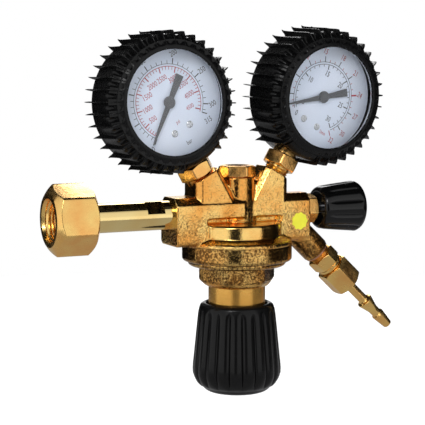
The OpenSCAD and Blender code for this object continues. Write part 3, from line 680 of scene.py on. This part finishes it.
def text_mesh(text, x, y, height, level):
    """A number or unit as flat faces, centred on a point of the dial, in millimetres."""
    curve = bpy.data.curves.new("text", "FONT")
    curve.body, curve.align_x, curve.align_y = text, "CENTER", "CENTER"
    curve.size, curve.resolution_u = height / CAP_HEIGHT, 2
    obj = bpy.data.objects.new("text", curve)
    bpy.context.collection.objects.link(obj)
    mesh = obj.to_mesh()
    verts = [(x + v.co.x * TEXT_WIDTH, y + v.co.y, level) for v in mesh.vertices]
    faces = [tuple(p.vertices) for p in mesh.polygons]
    bpy.data.objects.remove(obj)
    bpy.data.curves.remove(curve)
    return verts, faces


def print_left_dial():
    """A pressure scale to 315 bar outside, and to 4500 psi inside."""
    dial = Print(DIAL_LEVEL)
    zero, even_zero, step = 219.5, 225, 42.86

    def at(bar):
        if bar < 50:
            return zero - (zero - even_zero + step) * bar / 50
        return even_zero - step * bar / 50
    for bar in range(0, 316, 5):
        if bar % 50 == 0 or bar == 315:
            dial.tick("black", at(bar), 19.4, 22.4, 0.5)
        elif bar % 10 == 0:
            dial.tick("black", at(bar), 19.4, 21.2, 0.28)
    for psi in range(0, 4501, 100):
        major = psi % 500 == 0
        dial.tick("red", at(psi * BAR_PER_PSI), 15.2 if major else 16.5, 18.2, 0.55 if major else 0.28)
    dial.arc("red", 18.2, 0.3, zero, -45)
    dial.arc("black", 19.4, 0.24, zero, -45)
    for bar in (0, 50, 100, 150, 200, 250, 300, 315):
        x, y, _ = dial_point(24.9 if bar < 315 else 24.2, at(bar) - (7 if bar == 315 else 0))
        dial.word("black", str(bar), x, y, 2.8)
    for psi in range(500, 4501, 500):
        x, y, _ = dial_point(12.2, at(psi * BAR_PER_PSI))
        dial.word("red", str(psi), x, y, 2.8 if psi < 4500 else 2.2)
    dial.word("red", "psi", -0.5, -11.0, 2.0)
    dial.word("black", "bar", 0, -23.0, 2.4)
    dial.make("left")


def print_right_dial():
    """A flow scale to 32 litres a minute outside, and to 30 inside."""
    dial = Print(DIAL_LEVEL)
    inner = {0: 225, 5: 219.5, 10: 160, 15: 107, 20: 56.6, 25: 6, 30: -44}

    def at_inner(value):
        low = min(int(value // 5) * 5, 25)
        return inner[low] + (inner[low + 5] - inner[low]) * (value - low) / 5

    def at_outer(value):
        return -47.5 + (32 - value) * 9.6
    for value in range(5, 31):
        major = value % 5 == 0
        dial.tick("black", at_inner(value), 14.6 if major else 15.9, 17.1, 0.5 if major else 0.3)
    for value in range(4, 33):
        major = value % 3 == 0 or value == 32
        if value != 24:
            dial.tick("black" if major and value < 32 else "red", at_outer(value), 18.5,
                      21.4 if major else 19.8, 0.45 if major else 0.28)
    dial.tick("red", at_outer(24), 18.5, 21.9, 0.85)
    dial.arc("black", 17.3, 0.26, 225, -45)
    dial.arc("black", 18.5, 0.26, 225, -45)
    for value in (5, 10, 15, 20, 25, 30):
        x, y, _ = dial_point(12.4, at_inner(value))
        dial.word("black", str(value), x, y, 3.0)
    x, y, _ = dial_point(18.4, 234)
    dial.word("black", "0", x, y, 3.0)
    for value in (6, 9, 12, 15, 18, 21, 24, 27, 30, 32):
        x, y, _ = dial_point(24.0, at_outer(value))
        dial.word("red", str(value), x, y, 3.0)
    dial.word("red", "l/min", 9.4, -16.6, 2.0)
    dial.make("right")


def make_pointer(side):
    """A flat pointer with a slim tip, a widening tail and a domed hub."""
    node = side + "_pointer"
    level, thick, rest = 10.0, 0.5, math.radians(POINTER_REST)
    half = [(-15, 2.1), (-9, 1.7), (-4, 1.35), (0, 1.4), (4, 1.35), (10, 1.0), (17, 0.65), (23.2, 0.25)]
    ring = half + [(x, -w) for x, w in reversed(half)]
    ring = [(x * math.cos(rest) - y * math.sin(rest), x * math.sin(rest) + y * math.cos(rest))
            for x, y in ring]
    n, pairs = len(ring), len(half)
    verts = [(x, y, level) for x, y in ring] + [(x, y, level + thick) for x, y in ring]
    faces = [(i, (i + 1) % n, (i + 1) % n + n, i + n) for i in range(n)]
    for i in range(pairs - 1):
        quad = (i, i + 1, n - 2 - i, n - 1 - i)
        faces += [quad, tuple(v + n for v in quad[::-1])]
    hub = lathe(rounded([(0, level), (3.15, level), (3.15, level + 0.65, 0.25), (2.2, level + 0.9, 0.4),
                         (0, level + 0.9)]), 48)
    verts, faces = merge((verts, faces), hub)
    add_piece(node + "_visual", verts, faces, dial_frame(side), MATERIALS["pointer_grey"],
              BODY_OF[node], [node])


def make_dial_screws():
    """Cross-headed screws in both dials."""
    for side in SIDES:
        place = dial_frame(side)
        for x in (-4.8, 4.8):
            turn = 0.6 if x < 0 else 1.1

            def outline(angle):
                cross = abs(math.sin(2 * (angle - turn)))
                deep = 0.3 if cross < 0.28 else 0
                return rounded([(0, 9.65 - deep), (1.3, 9.65 - deep), (1.45, 9.65, 0.1), (1.8, 9.4, 0.15),
                                (1.8, 9.2), (0.9, 9.2), (0.9, 6.4), (0, 6.4)], 2)
            head = turned(f"{side}_dial_screw_{'a' if x < 0 else 'b'}", outline,
                          place @ Matrix.Translation((x * MM, -15.4 * MM, 0)), MATERIALS["steel"],
                          "regulator", slot="steel", columns=72, closed=False)
            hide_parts("dial_screws")


def make_sticker():
    """A round sticker with a wavy edge, on the valve arm."""
    low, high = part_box("round_sticker")
    centre = Vector(((low[0] + high[0]) / 2, high[1], (low[2] + high[2]) / 2))
    place = axes_frame(centre, (1, 0, 0), (0, -1, 0))

    def outline(angle):
        r = 4.45 + 0.25 * math.cos(9 * angle)
        return [(0, 0.0), (r, 0.0), (r, 0.15), (0, 0.15)]
    turned("round_sticker_visual", outline, place, MATERIALS["sticker"], "regulator",
           ["round_sticker"], columns=144, closed=False)


def make_diaphragm():
    top, bottom, rim, held, free, bore = -19.0, -20.2, 22.3, 17.8, 14.2, 1.8
    radii = [bore, free] + [free + (held - free) * i / 8 for i in range(1, 9)] + [rim]
    outline = [(r, bottom) for r in radii] + [(r, top) for r in reversed(radii)]
    obj = turned("diaphragm_visual", outline, KNOB, MATERIALS["seal"], None, ["diaphragm"])
    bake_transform(obj)


def make_spring(node, radius, wire, z0, z1, turns):
    """A closed-end coil riding on its joint's body."""
    steps, sides = int(turns * 28), 8
    verts, faces = [], []
    for i in range(steps + 1):
        t = i / steps
        a = TAU * turns * t
        z = z0 + wire / 2 + (z1 - z0 - wire) * (0.25 * t + 0.75 * ease(t))
        for j in range(sides):
            b = TAU * j / sides
            r = radius - wire / 2 + wire / 2 * math.cos(b)
            verts.append((r * math.cos(a), r * math.sin(a), z + wire / 2 * math.sin(b)))
    faces = [(i * sides + j, i * sides + (j + 1) % sides,
              (i + 1) * sides + (j + 1) % sides, (i + 1) * sides + j)
             for i in range(steps) for j in range(sides)]
    faces += [tuple(range(sides))[::-1], tuple(range(steps * sides, (steps + 1) * sides))]
    obj = add_piece(node + "_visual", verts, faces, KNOB, MATERIALS["steel"], BODY_OF[node], [node])
    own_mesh(obj)


# ---------- studio ----------

FLOOR_R, FLOOR_Z = 0.65, -0.13
CAMERA_AZIMUTH, CAMERA_ELEVATION, CAMERA_DISTANCE = 25.16, 6.14, 0.72945


def reflected_only(obj):
    """Puts a card in the studio that shows in glossy reflections and nowhere else."""
    bpy.context.collection.objects.link(obj)
    obj.visible_camera = obj.visible_diffuse = obj.visible_shadow = obj.visible_transmission = False


def make_flags():
    """Black cards round and over the table, seen only in reflections, as a studio sets them to give polished metal
    its dark edges, and a grey glowing sheet on the table, also seen only in reflections: a painted reflection of
    the floor, dimmer than the floor itself. Bearings are measured clockwise from straight ahead."""
    card_r, card_top, floor_gap, lid_r = 0.5, 0.6, 0.002, 0.52
    centre = Vector((0.0895, 0, 0))
    cards = [(-168, -92, card_top), (64, 168, card_top), (-19, 10, 0.26)]
    verts, faces = [], []
    for start, end, top in cards:
        steps = max(2, int((end - start) / 6))
        base = len(verts)
        for i in range(steps + 1):
            a = math.radians(CAMERA_AZIMUTH - (start + (end - start) * i / steps))
            x, y = centre.x - card_r * math.sin(a), centre.y - card_r * math.cos(a)
            verts += [(x, y, FLOOR_Z + floor_gap), (x, y, top)]
        faces += [(base + 2 * i, base + 2 * i + 1, base + 2 * i + 3, base + 2 * i + 2) for i in range(steps)]
    base, sides = len(verts), 48
    verts += [(centre.x + lid_r * math.cos(TAU * i / sides), lid_r * math.sin(TAU * i / sides), card_top)
              for i in range(sides)]
    faces.append(tuple(range(base, base + sides)))
    mesh = bpy.data.meshes.new("Flags")
    mesh.from_pydata(verts, [], faces)
    mesh.materials.append(plain("studio_card", (0.004, 0.004, 0.004), (0.9, 1.0), Specular_IOR_Level=0.0))
    reflected_only(bpy.data.objects.new("Flags", mesh))

    # Painted reflection: a grey glowing sheet at the floor, seen only in glossy reflections, stands in for the
    # floor there at less than its real brightness.
    glow = Nodes("painted_floor_reflection")
    shade = glow.ramp(glow.noise(3.0), [(0.3, (0.36, 0.36, 0.37)), (0.7, (0.40, 0.40, 0.40))])
    glow.link(shade, glow.shader.inputs["Emission Color"])
    glow.finish(glow.ramp(glow.noise(3.0), [(0.3, (0.002, 0.002, 0.002)), (0.7, (0.003, 0.003, 0.003))]),
                glow.spread(glow.noise(9.0), 0.9, 1.0), Emission_Strength=1.0, Specular_IOR_Level=0.0)
    sheet = bpy.data.meshes.new("PaintedFloorReflection")
    sheet.from_pydata([(v[0], v[1], FLOOR_Z + floor_gap) for v in verts[base:]], [], [tuple(range(sides))])
    sheet.materials.append(glow.material)
    reflected_only(bpy.data.objects.new("PaintedFloorReflection", sheet))


def make_studio():
    """A pale floor, soft boxes above and in front, and a dim room with a bright horizon."""
    scene = bpy.context.scene
    world = bpy.data.worlds.new("Studio")
    scene.world = world
    world.use_nodes = True
    tree = world.node_tree
    coord = tree.nodes.new("ShaderNodeTexCoord").outputs["Generated"]
    split = tree.nodes.new("ShaderNodeSeparateXYZ")
    tree.links.new(coord, split.inputs[0])
    ramp = tree.nodes.new("ShaderNodeValToRGB")
    stops = [(0.0, 1.0), (0.54, 1.0), (0.60, 0.85), (0.80, 0.8), (0.88, 0.4), (0.95, 0.08), (1.0, 0.06)]
    fill_ramp(ramp, [(at, (value, value, value)) for at, value in stops])
    level = tree.nodes.new("ShaderNodeMapRange")
    level.inputs["From Min"].default_value = -1
    tree.links.new(split.outputs["Z"], level.inputs["Value"])
    tree.links.new(level.outputs["Result"], ramp.inputs["Fac"])
    back = tree.nodes["Background"]
    tree.links.new(ramp.outputs["Color"], back.inputs["Color"])
    back.inputs["Strength"].default_value = 1.0

    white = plain("studio_floor", (0.93, 0.93, 0.93), (0.8, 0.9), shade=0.995,
                  Emission_Color=(1, 1, 1, 1), Emission_Strength=0.3)
    mesh = bpy.data.meshes.new("Floor")
    rim = [(0.085 + FLOOR_R * math.cos(TAU * i / 96), FLOOR_R * math.sin(TAU * i / 96), FLOOR_Z)
           for i in range(96)]
    mesh.from_pydata(rim, [], [tuple(range(96))])
    mesh.materials.append(white)
    floor = bpy.data.objects.new("Floor", mesh)
    bpy.context.collection.objects.link(floor)

    make_flags()
    centre = Vector((0.085, 0, 0))
    for name, where, size, power in (("Key", (-0.6, -0.75, 0.6), (0.35, 0.35), 3.0),
                                     ("Side", (0.9, -0.5, 0.3), (0.1, 0.5), 0.8),
                                     ("Rear", (0.1, 0.8, 0.6), (1.0, 0.4), 5)):
        lamp = bpy.data.lights.new(name, "AREA")
        lamp.shape, lamp.size, lamp.size_y, lamp.energy = "RECTANGLE", *size, power
        obj = bpy.data.objects.new(name, lamp)
        bpy.context.collection.objects.link(obj)
        obj.location = where
        obj.rotation_euler = (centre - obj.location).to_track_quat("-Z", "Y").to_euler()
    scene.view_settings.view_transform = "Standard"


def make_camera():
    """A long lens in front and to the left, a little above the inlet's axis."""
    azimuth, elevation = math.radians(CAMERA_AZIMUTH), math.radians(CAMERA_ELEVATION)
    target = Vector((0.0753, 0, 0.0001))
    back = Vector((-math.sin(azimuth) * math.cos(elevation), -math.cos(azimuth) * math.cos(elevation),
                   math.sin(elevation)))
    camera = bpy.data.cameras.new("Camera")
    camera.sensor_width, camera.lens, camera.clip_start = 36, 118.31, 0.01
    obj = bpy.data.objects.new("Camera", camera)
    bpy.context.collection.objects.link(obj)
    obj.location = target + back * CAMERA_DISTANCE
    obj.rotation_euler = back.to_track_quat("Z", "Y").to_euler()
    bpy.context.scene.camera = obj


# ---------- the scene ----------

for node_name, node_object in NODES.items():
    node_object.data.materials.clear()
    node_object.data.materials.append(MATERIALS[SLOTS[node_name]])
soften_body()
make_inlet()
make_bonnet()
make_relief_cap()
make_adjusting_knob()
make_shutoff_knob()
make_outlet()
for gauge in SIDES:
    make_boot(gauge)
    make_bezel(gauge)
    make_socket(gauge)
    make_pointer(gauge)
    NODES[gauge + "_lens"].visible_shadow = False
print_left_dial()
print_right_dial()
make_dial_screws()
make_sticker()
make_diaphragm()
make_spring("adjusting_spring", 9.5, 3.2, -38.0, -22.2, 4.0)
make_spring("valve_spring", 3.0, 0.7, -3.5, 6.0, 6.5)
make_spring("relief_spring", 3.2, 0.8, 14.0, 22.5, 6.0)
make_studio()
make_camera()
